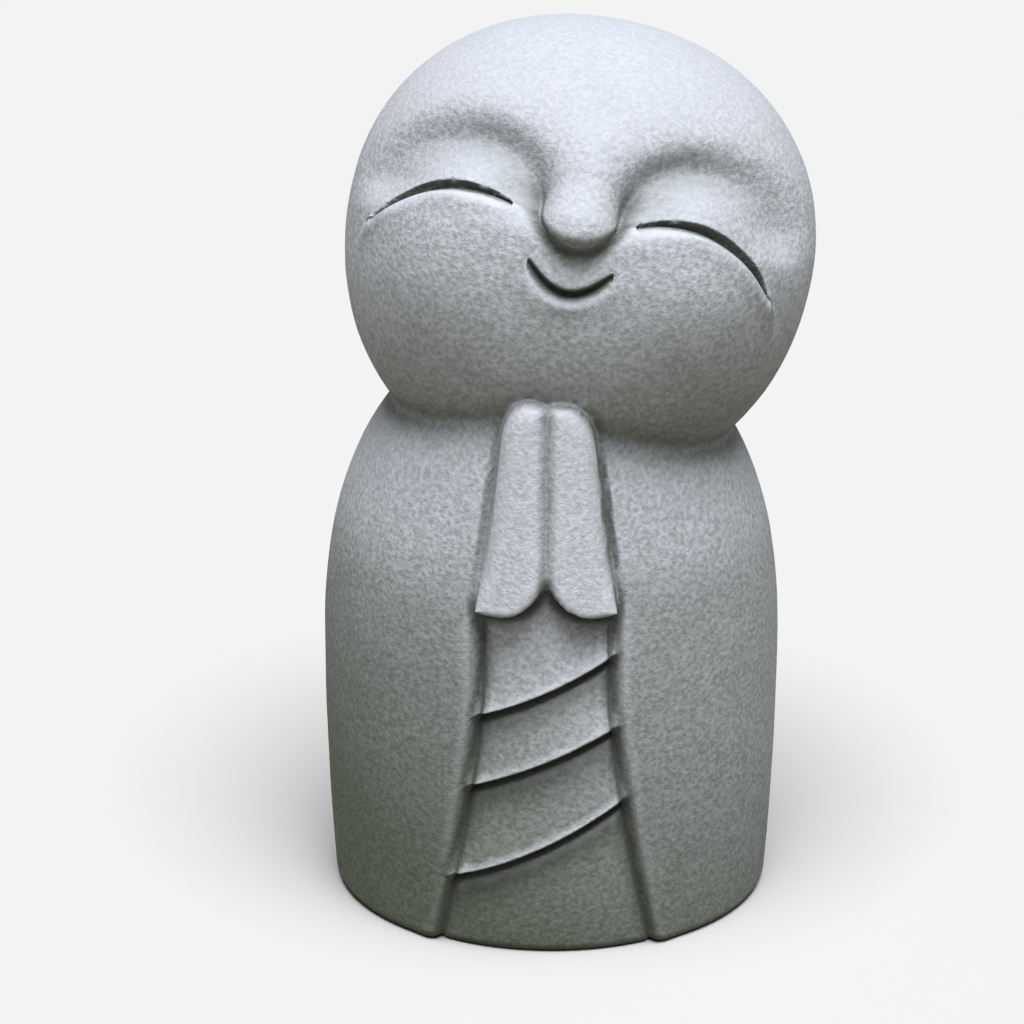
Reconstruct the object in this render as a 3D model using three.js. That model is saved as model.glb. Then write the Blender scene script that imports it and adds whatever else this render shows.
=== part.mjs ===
// Stone jizo: a small monk with a round smiling head, hands pressed together under the chin and a
// robe that opens in front over a folded under-robe, all one piece of stone.
// Millimetres, +Z up, the face looks along -Y, the origin is the middle of the flat underside.
import * as THREE from 'three';
import { mergeVertices } from 'three/addons/utils/BufferGeometryUtils.js';

const { clamp, degToRad, lerp, radToDeg, smoothstep } = THREE.MathUtils;

// Driving sizes of the figure
const height = 83;
const headWidth = 42.6;
const headDepth = 40.6;
const crownRise = 19.7;        // from the middle of the head up to the crown
const jawDrop = 22.6;          // from the middle of the head down to the hidden lowest point
const headShift = 2.55;        // the head leans over towards +X
const headFullness = 2.12;     // 2 is an ellipsoid, more is squarer
const robeWidth = 42.8;
const robeFrontDepth = 20.2;
const robeBackDepth = 17.6;
const footWidth = 41.2;
const footFrontDepth = 19.5;
const hemRounding = 1;
const neckRounding = 1.1;
const joinRounding = 0.25;     // where the hands and the under-robe meet what lies round them
const slotRounding = 0.8;      // the same along the slots beside the hands
const tipRounding = 0.4;       // and round the fingertips

// Pose of the face on the head, in degrees
const headRoll = 10.3;
const facePitch = 16;
const faceTurn = -3;

// Carving, in millimetres
const slitHalfWidth = 0.62;
const slitDepth = 1.8;
const mouthHalfWidth = 0.48;
const mouthDepth = 1.2;
const grooveRounding = 0.2;
const lipRounding = 0.9;       // the lower side of the slits and the mouth
const lipRise = 0.25;
const lipReach = 1;            // how far the lips lie from the mouth's line, and how wide they are
const browDepth = 2.1;
const browReach = 1.9;         // how far the hollow under the brow spreads up, and down
const lidReach = 3.4;
const cheekRise = 0.8;
const cheekLip = 0.5;
const cheekLipReach = 1.4;
const lidEdge = 0.35;          // the cheek's upper edge falls off to the lid within this
const noseTipRadius = 3.4;
const noseTipDrop = 1.75;      // from the middle of the tip down to its underside
const noseTipBow = 7;          // the underside rises to each side by the distance squared over this
const noseTipRounding = 1.2;
const noseBridgeRadius = 2.9;
const noseTipSink = 0.9;       // how far the middles of the nose's tip and bridge lie under the face
const noseBridgeSink = 2.5;
const noseTipBlend = 0.25;
const noseBridgeBlend = 2.2;
const recessDepth = 1.4;       // under-robe below the robe, at the hands
const footRecessDepth = 0.7;   // the same at the hem
const handRecessDepth = 0.8;   // and beside the fingertips
const cuffRecessDepth = 0.3;   // and beside the cuffs
const recessBulge = 0.2;       // the under-robe comes forward in the middle by this share of its depth
const openingDraft = 0.45;     // how far the robe's edges lean outwards for each millimetre of depth
const robeEdgeRounding = 0.45;
const foldLip = 1.1;
const foldLipFade = 1;         // the lip runs out within this beyond the opening
const foldRounding = 0.3;
const handRise = 1.5;          // out of the chest, at the cuffs
const handLean = -0.11;        // the fingertips lie further back than the cuffs
const handRounding = 1.7;
const cuffRounding = 0.7;
const handLength = 19.7;
const handBreadth = 6.35;
const slotInset = 1;           // the slots' own depth is reached this far inside the cuffs' corners
const handTaper = 0.05;        // the hand at +X grows narrower towards its tips by this share
const otherHandTaper = 0.1;
const handCurve = 26;          // the fronts fall back to each side by the distance squared over this
const seamRounding = 0.3;

// Heights on the robe, as shares of the figure's height
const bellyHeight = 0.272 * height;
const domeRise = 0.4 * height;
const frontDomeRise = 0.527 * height;
const cuffHeight = 0.408 * height;
const openingHalfWidth = 0.0787 * height;
const openingFlare = 0.0434 * height;
const openingFlareHeight = 0.313 * height;
const slotReach = 0.1 * height;
const fullyRoundHeight = cuffHeight + handLength / 4;   // the hands' borders are at their roundest

// How the robe closes and opens: powers of its curves, and the opening's loss of width at the throat
const sideDomePower = 2.5;
const frontDomePower = 3;
const flarePower = 1.3;
const throatTaper = 0.42;
const slotNarrowing = 0.05;
const foldPower = 2;

// How far above its own middle the leaning head reaches: the support of a superellipse.
const dual = headFullness / (headFullness - 1);
const leanAcross = headWidth / 2 * Math.sin(degToRad(headRoll));
const leanUp = crownRise * Math.cos(degToRad(headRoll));
const crownReach = (leanAcross ** dual + leanUp ** dual) ** (1 / dual);
const middleOfHead = new THREE.Vector3(headShift, 0, height - crownReach);

// The three layers of the under-robe: the height of each lower edge in the middle, its slope and its
// upward bow over the width, and where the layer above it begins to swell.
const folds = [
  { middle: 0.3165 * height, slope: 0.49, bow: 0.008, swell: 0.075 * height },
  { middle: 0.2343 * height, slope: 0.46, bow: 0.004, swell: 0.085 * height },
  { middle: 0.1335 * height, slope: 0.53, bow: 0.009, swell: 0.1 * height },
];

// Two forms joined, or one cut by another, with a rounding of about k.
function smoothMin(a, b, k) {
  const overlap = Math.max(k - Math.abs(a - b), 0) / k;
  return Math.min(a, b) - overlap * overlap * k / 4;
}

function smoothMax(a, b, k) {
  return -smoothMin(-a, -b, k);
}

function bell(distance, reach) {
  return Math.exp(-((distance / reach) ** 2));
}

// Every form below is a function of a point that is negative inside, positive outside, and close to
// the distance to its surface.
const leastRadius = 0.01;
const leastShare = 0.05;
const slopeStep = 0.5;

// The robe: upright sides that swell to the belly and close over the shoulders.
function domed(radius, rise, power, z) {
  const share = clamp((z - bellyHeight) / rise, 0, 1);
  return Math.max(radius * Math.sqrt(1 - share ** power), leastRadius);
}

function robeHalfWidthAt(z) {
  const below = Math.max(bellyHeight - z, 0) / bellyHeight;
  return domed(robeWidth / 2, domeRise, sideDomePower, z) - (robeWidth - footWidth) / 2 * below ** 2;
}

function robeFrontAt(z) {
  const below = Math.max(bellyHeight - z, 0) / bellyHeight;
  const ahead = domed(robeFrontDepth, frontDomeRise, frontDomePower, z);
  return ahead + (footFrontDepth - robeFrontDepth) * below ** 2;
}

function robeBackAt(z) {
  return robeHalfWidthAt(z) * robeBackDepth / (robeWidth / 2);
}

function robeForm(p) {
  const depthAt = p.y < 0 ? robeFrontAt : robeBackAt;
  const rho = Math.hypot(p.x / robeHalfWidthAt(p.z), p.y / depthAt(p.z));
  const slope = (depthAt(p.z - slopeStep) - depthAt(p.z + slopeStep)) / (2 * slopeStep);
  const level = Math.hypot(p.x, p.y) * (1 - 1 / Math.max(rho, leastShare));
  return Math.max(level / Math.hypot(1, slope), p.z - middleOfHead.z);
}

// The front opening of the robe: narrow at the throat, straight below the hands, flared to the hem.
function openingHalfWidthAt(z) {
  const above = Math.max(z - cuffHeight, 0) / handLength;
  const below = Math.max(openingFlareHeight - z, 0) / openingFlareHeight;
  const narrowing = slotNarrowing * smoothstep(z, cuffHeight, cuffHeight + slotReach);
  return openingHalfWidth * (1 - throatTaper * above ** 2 - narrowing) + openingFlare * below ** flarePower;
}

function recessAt(p) {
  const aboveFoot = lerp(footRecessDepth, recessDepth, smoothstep(p.z, 0, cuffHeight / 2));
  const upSlot = smoothstep(p.z, cuffHeight, cuffHeight + slotReach);
  const besideHands = lerp(cuffRecessDepth, handRecessDepth, upSlot);
  const inSlot = smoothstep(p.z, cuffHeight - slotInset, cuffHeight + slotInset)
    * smoothstep(Math.abs(p.x), handBreadth / 2, handBreadth - slotInset);
  const depth = lerp(aboveFoot, besideHands, inSlot);
  const toEdge = clamp(Math.abs(p.x) / openingHalfWidthAt(p.z), 0, 1);
  return depth * (1 - recessBulge * (1 - toEdge ** 2));
}

// The under-robe in the opening: one layer behind the other, each with a lip along its lower edge.
function underRobeForm(p, robe) {
  const back = robe + recessAt(p);
  const width = openingHalfWidthAt(p.z);
  const lip = foldLip * (1 - smoothstep(Math.abs(p.x), width, width + foldLipFade));
  let form = back;
  for (const fold of folds) {
    const edge = fold.middle + fold.slope * p.x + fold.bow * p.x ** 2;
    const swelling = lip * clamp(1 - (p.z - edge) / fold.swell, 0, 1) ** foldPower;
    form = Math.min(form, smoothMax(back - swelling, edge - p.z, foldRounding));
  }
  return form;
}

// One hand seen from the front, from the seam at x = 0 to its outer edge, in shares of the hand's
// breadth and length.
const pointsPerCurve = 6;

function handOutline() {
  const hand = new THREE.Shape();
  hand.moveTo(0, 0.22);
  hand.bezierCurveTo(0.02, 0.12, 0.28, 0, 0.62, 0);
  hand.bezierCurveTo(0.78, 0, 0.9, 0, 1, 0.01);
  hand.bezierCurveTo(0.93, 0.18, 0.87, 0.29, 0.82, 0.41);
  hand.lineTo(0.69, 0.8);
  hand.bezierCurveTo(0.65, 0.92, 0.5, 1, 0.28, 1);
  hand.bezierCurveTo(0.1, 1, 0, 0.98, 0, 0.93);
  const corners = hand.getPoints(pointsPerCurve);
  for (const corner of corners) {
    corner.set(corner.x * handBreadth, cuffHeight + corner.y * handLength);
  }
  return corners;
}

const handCorners = handOutline();

function outlineDistance(x, z, corners) {
  let nearest = Infinity;
  let inside = false;
  for (let i = 0, j = corners.length - 1; i < corners.length; j = i++) {
    const ex = corners[j].x - corners[i].x;
    const ez = corners[j].y - corners[i].y;
    const wx = x - corners[i].x;
    const wz = z - corners[i].y;
    const along = clamp((wx * ex + wz * ez) / (ex * ex + ez * ez || 1), 0, 1);
    nearest = Math.min(nearest, Math.hypot(wx - ex * along, wz - ez * along));
    if ((corners[i].y > z) !== (corners[j].y > z) && x < ex * wz / ez + corners[i].x) {
      inside = !inside;
    }
  }
  return inside ? -nearest : nearest;
}

// The pressed hands: both outlines raised from the chest with rounded borders that meet in a seam.
function handsForm(p) {
  const taper = (p.x < 0 ? otherHandTaper : handTaper) * clamp((p.z - cuffHeight) / handLength, 0, 1);
  const rounding = lerp(cuffRounding, handRounding, smoothstep(p.z, cuffHeight, fullyRoundHeight));
  const across = Math.hypot(p.x, seamRounding) * (1 + taper);
  const beside = outlineDistance(across, p.z, handCorners) + rounding;
  const lean = handLean * (p.z - cuffHeight);
  const front = robeFrontDepth + handRise + lean - p.x ** 2 / handCurve;
  const ahead = -p.y - front + rounding;
  const rounded = Math.hypot(Math.max(beside, 0), Math.max(ahead, 0)) - rounding;
  return Math.min(Math.max(beside, ahead), 0) + rounded;
}

function robesForm(p) {
  const robe = robeForm(p);
  if (p.y > 0 || p.z > cuffHeight + handLength) {
    return robe;
  }
  const opening = openingHalfWidthAt(p.z) + openingDraft * robe - Math.abs(p.x);
  const sides = smoothMax(robe, opening, robeEdgeRounding);
  return smoothMin(sides, underRobeForm(p, robe), joinRounding);
}

// The face's own axes: across to its left-hand side, up along its midline, and straight out of it.
const headLean = new THREE.Matrix4().makeRotationY(degToRad(headRoll));
const faceTilt = new THREE.Matrix4().makeRotationX(degToRad(-facePitch));
const faceYaw = new THREE.Matrix4().makeRotationZ(degToRad(faceTurn));
const headAxes = headLean.clone().invert();
const faceAxes = headLean.clone().multiply(faceTilt).multiply(faceYaw).invert();

const headRadii = new THREE.Vector3(headWidth / 2, headDepth / 2, crownRise);
const meanRadius = (headRadii.x + headRadii.y) / 2;
const toMillimetres = degToRad(meanRadius);

function headEgg(p) {
  const q = p.clone().sub(middleOfHead).applyMatrix4(headAxes);
  const radiusZ = q.z > 0 ? crownRise : jawDrop;
  const norm = (x, y, z) => (Math.abs(x) ** headFullness + Math.abs(y) ** headFullness
    + Math.abs(z) ** headFullness) ** (1 / headFullness);
  const k0 = norm(q.x / headRadii.x, q.y / headRadii.y, q.z / radiusZ);
  return q.length() * (1 - 1 / Math.max(k0, leastShare));
}

// Both eyes are bows drawn over a smile, the same on each side, in degrees from the face's midline.
const eye = { shift: -1.5, peak: 6.4, middle: 27, bend: 0.0145, uneven: 0.0011, inner: 15.6, outer: 56 };
const lid = { starts: 8, full: 20, fades: 54, ends: 66 };
const brow = { across: 31.5, up: 4.5, tilt: 0.035, inner: 20, outer: 27, rise: 16.5 };
const browArch = { starts: -6, full: 5, fade: 0.35, fadesFrom: 25, fadesTo: 66 };
const mouth = { low: -14.7, bend: 0.06, reach: 10.6 };
const cheek = { across: 36, up: -10, reach: 28, fullness: 0.75 };
const nose = { tipUp: 1.8, bridgeUp: 20 };

// The eye on the +X side is bent a little more than the other.
function eyeBend(side) {
  return eye.bend + eye.uneven * Math.sign(side - eye.shift);
}

function eyeHeight(side) {
  return eye.peak - eyeBend(side) * (Math.abs(side - eye.shift) - eye.middle) ** 2;
}

function distanceFromMouth(side, up) {
  const aboveMouth = up - mouth.low - mouth.bend * side ** 2;
  return aboveMouth * toMillimetres / Math.hypot(1, 2 * mouth.bend * side);
}

// How far the face stands out of the plain egg: brow hollows, cheeks with their upper edge, and lips.
function faceRelief(side, up) {
  const fromMiddle = Math.abs(side);
  const reach = fromMiddle > brow.across ? brow.outer : brow.inner;
  const overMiddle = up - brow.up - brow.tilt * side;
  const round = Math.hypot((fromMiddle - brow.across) / reach, overMiddle / brow.rise);
  const fromBrow = (round - 1) * Math.min(reach, brow.rise) * toMillimetres;
  const overEye = smoothstep(overMiddle, browArch.starts, browArch.full);
  const towardNose = 1 - browArch.fade * smoothstep(fromMiddle, browArch.fadesFrom, browArch.fadesTo);
  const hollow = browDepth * overEye * towardNose * bell(fromBrow, fromBrow > 0 ? browReach : lidReach);

  const across = Math.abs(side - eye.shift);
  const drop = (eyeHeight(side) - up) * toMillimetres;
  const lidded = smoothstep(across, lid.starts, lid.full) * (1 - smoothstep(across, lid.fades, lid.ends));
  const below = drop > 0 ? 1 : bell(drop, lidEdge);
  const lip = cheekLip * lidded * below * bell(Math.max(drop, 0), cheekLipReach);
  const full = Math.hypot((across - cheek.across) / cheek.reach, (up - cheek.up) / cheek.reach);
  const cheekSwell = cheekRise * bell(full, cheek.fullness) * below;

  const fromLips = Math.abs(distanceFromMouth(side, up)) - lipReach;
  const mouthLips = lipRise * bell(fromLips, lipReach) * bell(side, mouth.reach);
  return lip + cheekSwell + mouthLips - hollow;
}

const grooveFullness = 0.22;    // less holds a groove's width out towards its ends
const shallowestShare = 0.25;

// A bowed groove cut into a form: its walls close with depth, its lower edge is rounded more than its
// upper one, and it is full in the middle (share 0) and closed with its rounding at its ends.
function cutGroove(form, fromLine, share, halfWidth, depth) {
  const open = clamp(1 - share ** 2, 0, 1) ** grooveFullness;
  const rounding = fromLine < 0 ? lerp(grooveRounding, lipRounding, open) : grooveRounding;
  const width = lerp(-grooveRounding, halfWidth, open);
  const wall = Math.abs(fromLine) - width * (1 + form / (depth * Math.max(open, shallowestShare)));
  return smoothMax(form, -wall, rounding);
}

function onFace(side, up, rise) {
  const level = Math.cos(degToRad(up));
  const out = new THREE.Vector3(
    level * Math.sin(degToRad(side)),
    -level * Math.cos(degToRad(side)),
    Math.sin(degToRad(up)),
  );
  return out.multiplyScalar(headRadii.y + rise);
}

const noseTip = onFace(0, nose.tipUp, -noseTipSink);
const noseBridge = onFace(0, nose.bridgeUp, -noseBridgeSink);
const noseLine = new THREE.Line3(noseTip, noseBridge);
const noseFoot = new THREE.Vector3();

// The nose: a ridge that widens and rises to a round tip, which has a bowed underside.
function noseForm(q) {
  const share = noseLine.closestPointToPointParameter(q, true);
  noseLine.at(share, noseFoot);
  const ridge = q.distanceTo(noseFoot) - lerp(noseTipRadius, noseBridgeRadius, share);
  const underside = noseTip.z - noseTipDrop + q.x ** 2 / noseTipBow - q.z;
  return smoothMax(ridge, underside, noseTipRounding);
}

const carvedWithin = 6;         // of the plain egg, outwards

function headForm(p) {
  const egg = headEgg(p);
  const q = p.clone().sub(middleOfHead).applyMatrix4(faceAxes);
  if (q.y > 0 || egg > carvedWithin) {
    return egg;
  }
  const side = radToDeg(Math.atan2(q.x, -q.y));
  const up = radToDeg(Math.asin(clamp(q.z / q.length(), -1, 1)));
  const face = egg - faceRelief(side, up);
  const blend = lerp(noseTipBlend, noseBridgeBlend, smoothstep(up, nose.tipUp, nose.bridgeUp));
  let form = smoothMin(face, noseForm(q), blend);

  const across = Math.abs(side - eye.shift);
  const eyeSlope = -2 * eyeBend(side) * (across - eye.middle);
  const fromEye = (up - eyeHeight(side)) * toMillimetres / Math.hypot(1, eyeSlope);
  const eyeShare = (2 * across - eye.inner - eye.outer) / (eye.outer - eye.inner);
  form = cutGroove(form, fromEye, eyeShare, slitHalfWidth, slitDepth);

  return cutGroove(form, distanceFromMouth(side, up), side / mouth.reach, mouthHalfWidth, mouthDepth);
}

// Shares of the hands' length where the joins beside them and round the fingertips have their rounding
const slotsFrom = 0.2;
const tipsFrom = 0.7;
const tipsFull = 0.9;

function statueForm(p) {
  const headOnRobes = smoothMin(robesForm(p), headForm(p), neckRounding);
  const upHands = (p.z - cuffHeight) / handLength;
  const besideHands = lerp(joinRounding, slotRounding, smoothstep(upHands, 0, slotsFrom));
  const join = lerp(besideHands, tipRounding, smoothstep(upHands, tipsFrom, tipsFull));
  const figure = p.y < 0 ? smoothMin(headOnRobes, handsForm(p), join) : headOnRobes;
  return smoothMax(figure, -p.z, hemRounding);
}

// The skin is met by rays from a spine inside the figure. A place on the skin is its bearing round
// the spine (0 is the front) and its station: height on the spine below the middle of the head, and
// from there up to the crown the ray's rise in degrees.
const farOut = 0.4 * height;
const spineBend = 0.45 * middleOfHead.z;   // from here up the spine leans over to the head
const onSkin = 1e-7;
const strideShare = 0.6;
const shortestStride = 0.02;
const longestStride = 4;
const halvings = 24;
const rayDirection = new THREE.Vector3();
const rayPoint = new THREE.Vector3();

function skinPoint(bearing, station) {
  const rise = degToRad(Math.max(station - middleOfHead.z, 0));
  const z = Math.min(station, middleOfHead.z);
  const x = headShift * smoothstep(z, spineBend, middleOfHead.z);
  rayDirection.set(
    Math.cos(rise) * Math.sin(bearing),
    -Math.cos(rise) * Math.cos(bearing),
    Math.sin(rise),
  );
  const at = (reach) => rayPoint.set(x, 0, z).addScaledVector(rayDirection, reach);
  let outside = farOut;
  let inside = farOut;
  for (let form = statueForm(at(farOut)); form > onSkin; form = statueForm(at(inside))) {
    outside = inside;
    inside -= clamp(strideShare * form, shortestStride, longestStride);
  }
  for (let halving = 0; halving < halvings; halving++) {
    const middle = (outside + inside) / 2;
    if (statueForm(at(middle)) > onSkin) {
      outside = middle;
    } else {
      inside = middle;
    }
  }
  return at(inside).clone();
}

// A sphere's net of vertices, each given its bearing and station, is pulled onto the skin.
const columns = 44;
const rows = 36;
const topStation = middleOfHead.z + 90;   // straight up
const samePlace = 1e-6;

function startingNet() {
  const sphere = new THREE.SphereGeometry(1, columns, rows);
  sphere.deleteAttribute('normal');
  sphere.deleteAttribute('uv');
  const net = mergeVertices(sphere, samePlace);
  const ball = net.getAttribute('position');
  const places = [];
  for (let i = 0; i < ball.count; i++) {
    const share = Math.acos(clamp(-ball.getY(i), -1, 1)) / Math.PI;
    const bearing = Math.atan2(ball.getX(i), ball.getZ(i));
    const station = (Math.max(share - 1 / rows, 0) / (1 - 1 / rows)) * topStation;
    places.push({ bearing, station, pole: share < 0.5 / rows || share > 1 - 0.5 / rows });
  }
  places[places.findIndex((place) => place.pole && place.station > 0)].crown = true;
  return { places, index: Array.from(net.getIndex().array) };
}

function meetSkin(place) {
  if (place.pole && !place.crown) {
    return new THREE.Vector3(0, 0, 0);
  }
  return skinPoint(place.bearing, place.station);
}

// An edge whose chord leaves the skin is split where it is farthest off, so that the new vertices lie
// along the ridges and grooves of the carving.
const tolerance = 0.12;
const shortest = 0.6;
const closest = 0.03;
const sampleSpacing = 0.2;
const passes = 8;

function between(a, b, share) {
  let turn = b.bearing - a.bearing;
  turn -= 2 * Math.PI * Math.round(turn / (2 * Math.PI));
  const bearing = a.pole ? b.bearing : b.pole ? a.bearing : a.bearing + turn * share;
  return { bearing, station: lerp(a.station, b.station, share) };
}

function worstShare(a, b) {
  const length = a.distanceTo(b);
  if (length < shortest || (a.z < samePlace && b.z < samePlace)) {
    return 0;
  }
  const samples = Math.max(3, Math.ceil(length / sampleSpacing));
  const chord = new THREE.Vector3();
  let worst = 0;
  let gap = tolerance;
  for (let i = 1; i <= samples; i++) {
    const share = i / (samples + 1);
    const off = Math.abs(statueForm(chord.lerpVectors(a, b, share)));
    if (off > gap) {
      worst = share;
      gap = off;
    }
  }
  return worst;
}

// The points on the skin, held in small cells so that no two come closer than the least gap.
class Crowd {
  cells = new Map();

  near(point) {
    const shifts = [-closest, 0, closest];
    const keys = shifts.flatMap((x) => shifts.flatMap((y) => shifts.map((z) => this.key(point, x, y, z))));
    return keys.flatMap((key) => this.cells.get(key) ?? []);
  }

  key(point, x = 0, y = 0, z = 0) {
    return [point.x + x, point.y + y, point.z + z].map((value) => Math.floor(value / closest)).join();
  }

  isClear(point) {
    return this.near(point).every((other) => other.distanceTo(point) > closest);
  }

  add(point) {
    const key = this.key(point);
    this.cells.set(key, [...this.cells.get(key) ?? [], point]);
  }
}

function refine(places, points, index, taken) {
  const halves = new Map();
  const halfOf = (a, b) => {
    const key = a < b ? `${a},${b}` : `${b},${a}`;
    if (!halves.has(key)) {
      let half = -1;
      const share = worstShare(points[a], points[b]);
      const place = between(places[a], places[b], share);
      const point = share > 0 ? meetSkin(place) : null;
      if (point && taken.isClear(point)) {
        half = places.length;
        places.push(place);
        points.push(point);
        taken.add(point);
      }
      halves.set(key, half);
    }
    return halves.get(key);
  };
  const result = [];
  for (let i = 0; i < index.length; i += 3) {
    let corners = index.slice(i, i + 3);
    let middles = corners.map((corner, k) => halfOf(corner, corners[(k + 1) % 3]));
    const split = middles.filter((middle) => middle >= 0).length;
    if (split === 0) {
      result.push(...corners);
      continue;
    }
    // Turned so that a lone half comes first, and a lone whole edge comes last.
    while (split === 1 ? middles[0] < 0 : split === 2 && middles[2] >= 0) {
      corners = [corners[1], corners[2], corners[0]];
      middles = [middles[1], middles[2], middles[0]];
    }
    const [a, b, c] = corners;
    const [ab, bc, ca] = middles;
    if (split === 1) {
      result.push(a, ab, c, ab, b, c);
    } else if (split === 2) {
      result.push(ab, b, bc);
      if (points[a].distanceTo(points[bc]) < points[ab].distanceTo(points[c])) {
        result.push(a, ab, bc, a, bc, c);
      } else {
        result.push(a, ab, c, ab, bc, c);
      }
    } else {
      result.push(a, ab, ca, ab, b, bc, ca, bc, c, ab, bc, ca);
    }
  }
  return result;
}

function statueGeometry() {
  const net = startingNet();
  const points = net.places.map(meetSkin);
  const taken = new Crowd();
  points.forEach((point) => taken.add(point));
  let index = net.index;
  for (let pass = 0; pass < passes; pass++) {
    index = refine(net.places, points, index, taken);
  }
  const geometry = new THREE.BufferGeometry().setFromPoints(points);
  geometry.setIndex(index);
  geometry.computeVertexNormals();
  return geometry;
}

const stone = new THREE.MeshStandardMaterial({ color: 0x989da2, roughness: 0.95, metalness: 0 });
const statue = new THREE.Mesh(statueGeometry(), stone);
statue.name = 'jizo_statue';

const group = new THREE.Group();
group.add(statue);
export default group;
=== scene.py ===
import math

import bpy
import numpy as np
from mathutils import Matrix, Vector


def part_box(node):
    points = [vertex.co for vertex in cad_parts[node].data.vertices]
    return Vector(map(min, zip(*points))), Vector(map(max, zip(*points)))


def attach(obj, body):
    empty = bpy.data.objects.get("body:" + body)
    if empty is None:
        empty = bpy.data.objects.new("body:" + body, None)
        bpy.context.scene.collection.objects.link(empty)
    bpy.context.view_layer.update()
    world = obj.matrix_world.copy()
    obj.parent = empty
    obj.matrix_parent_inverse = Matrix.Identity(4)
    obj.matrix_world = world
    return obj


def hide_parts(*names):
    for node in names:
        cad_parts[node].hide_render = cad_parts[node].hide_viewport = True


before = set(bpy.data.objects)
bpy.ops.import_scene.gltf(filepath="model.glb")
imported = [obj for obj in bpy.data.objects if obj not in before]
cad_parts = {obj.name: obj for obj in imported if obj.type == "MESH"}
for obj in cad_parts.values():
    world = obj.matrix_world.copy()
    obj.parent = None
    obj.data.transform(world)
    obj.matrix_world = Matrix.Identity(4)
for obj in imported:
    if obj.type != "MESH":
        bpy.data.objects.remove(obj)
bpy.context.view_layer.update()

# Stone jizo: one carved piece of stone, seen a little from above, on a pale studio floor.
# The carving is worked out in millimetres and made into a mesh in metres.
mm = 0.001
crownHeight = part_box("jizo_statue")[1].z / mm


# Blends, with a rounding of about k

def smoothMin(a, b, k):
    overlap = np.maximum(k - np.abs(a - b), 0) / k
    return np.minimum(a, b) - overlap ** 2 * k / 4


def smoothMax(a, b, k):
    return -smoothMin(-a, -b, k)


def smoothStep(value, start, end):
    share = np.clip((value - start) / (end - start), 0, 1)
    return share * share * (3 - 2 * share)


def mix(a, b, share):
    return a + (b - a) * share


def bell(distance, reach):
    return np.exp(-(distance / reach) ** 2)


# Every form takes points and gives about the distance to its surface, negative inside the stone

leastRadius = 0.01
leastShare = 0.05
slopeStep = 0.5

robe = {
    "width": 42.8,
    "footWidth": 41.2,
    "footFrontDepth": 19.5,
    "frontDepth": 20.2,
    "backDepth": 17.6,
    "belly": 0.272 * crownHeight,       # height of the widest place
    "sideDome": 0.4 * crownHeight,      # from there up to where the sides would close
    "frontDome": 0.527 * crownHeight,
    "sidePower": 2.5,                   # how full the curves over the shoulders are
    "frontPower": 3,
    "hemRounding": 1.0,
    "neckRounding": 1.1,
    "joinRounding": 0.25,               # where the hands and the under-robe meet what lies round them
}

opening = {
    "halfWidth": 0.0787 * crownHeight,
    "flare": 0.0434 * crownHeight,
    "flareHeight": 0.313 * crownHeight,
    "flarePower": 1.3,
    "throatTaper": 0.42,                # share of the width lost from the cuffs up to the fingertips
    "slotNarrowing": 0.05,
    "recess": 1.4,                      # depth of the under-robe behind the robe's edges
    "footRecess": 0.7,
    "handRecess": 0.8,
    "cuffRecess": 0.3,
    "slotInset": 1,                     # the slots are that deep from this far inside the cuffs' corners
    "bulge": 0.2,                       # the under-robe comes forward in the middle by this share
    "slotReach": 0.1 * crownHeight,     # the slots beside the hands deepen over this, up from the cuffs
    "draft": 0.45,
    "edgeRounding": 0.9,
    "slotEdgeRounding": 0.55,
    "welt": 0.16,                       # soft raised border along both edges
    "weltReach": 0.9,
    "weltInset": 1.0,
    "weltFull": 30,                     # it fades between these heights
    "weltGone": 36,
    "creaseDepth": 0.3,                 # narrow channel that follows the foot of each edge
    "creaseReach": 0.25,
    "creaseFade": 3,                    # it fades within this below the cuffs
}

underRobe = {
    "lip": 1.1,
    "lipFade": 1,                       # the lips run out within this beyond the opening
    "swellPower": 2,
    "edgeRounding": 0.28,
    "creaseDepth": 0.85,                # narrow channel under each lip
    "creaseReach": 0.38,
    # height of each lower edge in the middle, its slope and bow, and how far up the layer swells
    "folds": [
        {"middle": 0.3165 * crownHeight, "slope": 0.49, "bow": 0.008, "swell": 0.075 * crownHeight},
        {"middle": 0.2343 * crownHeight, "slope": 0.46, "bow": 0.004, "swell": 0.085 * crownHeight},
        {"middle": 0.1335 * crownHeight, "slope": 0.53, "bow": 0.009, "swell": 0.1 * crownHeight},
    ],
}

hands = {
    "cuffHeight": 0.408 * crownHeight,
    "length": 19.7,
    "breadth": 6.35,
    "taper": 0.05,                      # the hand at +X grows narrower towards its tips by this share
    "otherTaper": 0.1,
    "rise": 1.5,
    "rounding": 1.7,
    "cuffRounding": 0.7,
    "roundFrom": 0.25,                  # share of the length from which the borders are fully round
    "lean": -0.11,                      # the fingertips lie further back than the cuffs
    "curve": 26,                        # the fronts fall back to each side by the distance squared over this
    "seamRounding": 0.3,
    "slotJoin": 0.8,                    # rounding where they meet the slots, from this share of the length
    "slotsFrom": 0.2,
    "tipJoin": 0.4,                     # and round the fingertips, between these shares
    "tipsFrom": 0.7,
    "tipsFull": 0.9,
    "creaseDepth": 0.9,                 # narrow channel under the cuffs
    "creaseReach": 0.4,
    "nearAside": 3,                     # the stone is free of the hands this far beside and below them,
    "nearBelow": 6,
    "nearAbove": 26,                    # and this far above the cuffs
    "tintFade": (0.05, 0.4),            # distances from the hands between which their tint fades
}


def domed(radius, rise, power, z):
    share = np.clip((z - robe["belly"]) / rise, 0, 1)
    return np.maximum(radius * np.sqrt(1 - share ** power), leastRadius)


def belowBelly(z):
    return np.maximum(robe["belly"] - z, 0) / robe["belly"]


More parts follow.
